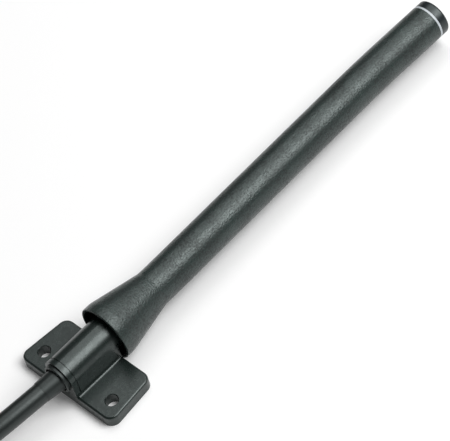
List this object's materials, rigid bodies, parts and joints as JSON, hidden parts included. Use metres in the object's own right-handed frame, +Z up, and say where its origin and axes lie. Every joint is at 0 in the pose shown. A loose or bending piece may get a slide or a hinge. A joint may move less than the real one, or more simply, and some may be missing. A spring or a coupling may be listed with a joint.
{
  "type": "whip antenna",
  "caption": "Straight whip antenna with a bell-mouthed moulded sleeve, screwed onto a coaxial jack in a two-ear flange mount, with a cable folded into a tied hank and a coupling plug.",
  "frame": {"origin": "on the flange's flat mounting face, midway between the two screw holes", "axes": "+X along the barrel towards the whip's tip, +Z up out of the mounting face, +Y towards the left ear seen from the cable end"},
  "size_m": [0.2764, 0.046, 0.016],
  "materials": {
    "sleeve": "fine leather-grain satin",
    "cap": "smooth satin",
    "ring": "smooth, pale",
    "mount": "smooth moulded, semi-gloss",
    "bush": "smooth matt",
    "relief": "smooth matt",
    "cable": "smooth extruded jacket",
    "tie": "woven hook-and-loop strap",
    "gold_plate": "turned, gold plated",
    "nickel_plate": "turned, nickel plated",
    "bare_brass": "drawn",
    "ptfe": "turned, waxy",
    "feed_jacket": "extruded, translucent brown",
    "spacer_foam": "plain moulded",
    "seal_rubber": "plain silicone"
  },
  "bodies": {
    "mount": {"flange_mount": "mount", "cable_bush": "bush", "strain_relief": "relief", "cable_inside": "cable", "jack_body": "gold_plate", "jack_insulator": "ptfe", "jack_contact": "gold_plate", "jack_ferrule": "nickel_plate", "cable": "cable", "cable_coil": "cable", "cable_tail": "cable", "coil_tie": "tie", "plug_boot": "relief", "plug_ferrule": "nickel_plate", "plug_cable_end": "cable", "plug_body": "nickel_plate", "plug_snap_ring": "nickel_plate", "plug_gasket": "seal_rubber", "plug_insulator": "ptfe", "plug_pin": "gold_plate"},
    "seal": {"whip_seal": "seal_rubber"},
    "whip": {"whip_sleeve": "sleeve", "indicator_ring": "ring", "tip_cap": "cap", "whip_shell": "gold_plate", "feed_coax": "feed_jacket", "dipole_tube": "bare_brass", "feed_insulator": "ptfe", "upper_rod": "bare_brass", "lower_spacer": "spacer_foam", "upper_spacer": "spacer_foam", "whip_insulator": "ptfe", "whip_pin": "gold_plate"},
    "nut": {"plug_nut": "nickel_plate"}
  },
  "joints": [
    {"name": "whip_travel", "type": "slide", "parent": "mount", "child": "seal", "axis": [1, 0, 0], "range_m": [0, 0.00423]},
    {"name": "whip_turn", "type": "hinge", "parent": "seal", "child": "whip", "pos_m": [0.0104, 0, 0.0076], "axis": [1, 0, 0], "range_deg": [0, 2160]},
    {"name": "nut_spin", "type": "hinge", "parent": "mount", "child": "nut", "pos_m": [-0.06597, -0.00686, 0.0047], "axis": [0.9762, 0.2169, 0], "continuous": true}
  ],
  "couplings": [
    {"joint": "whip_travel", "follows": "whip_turn", "m_per_rad": 0.00011229}
  ]
}
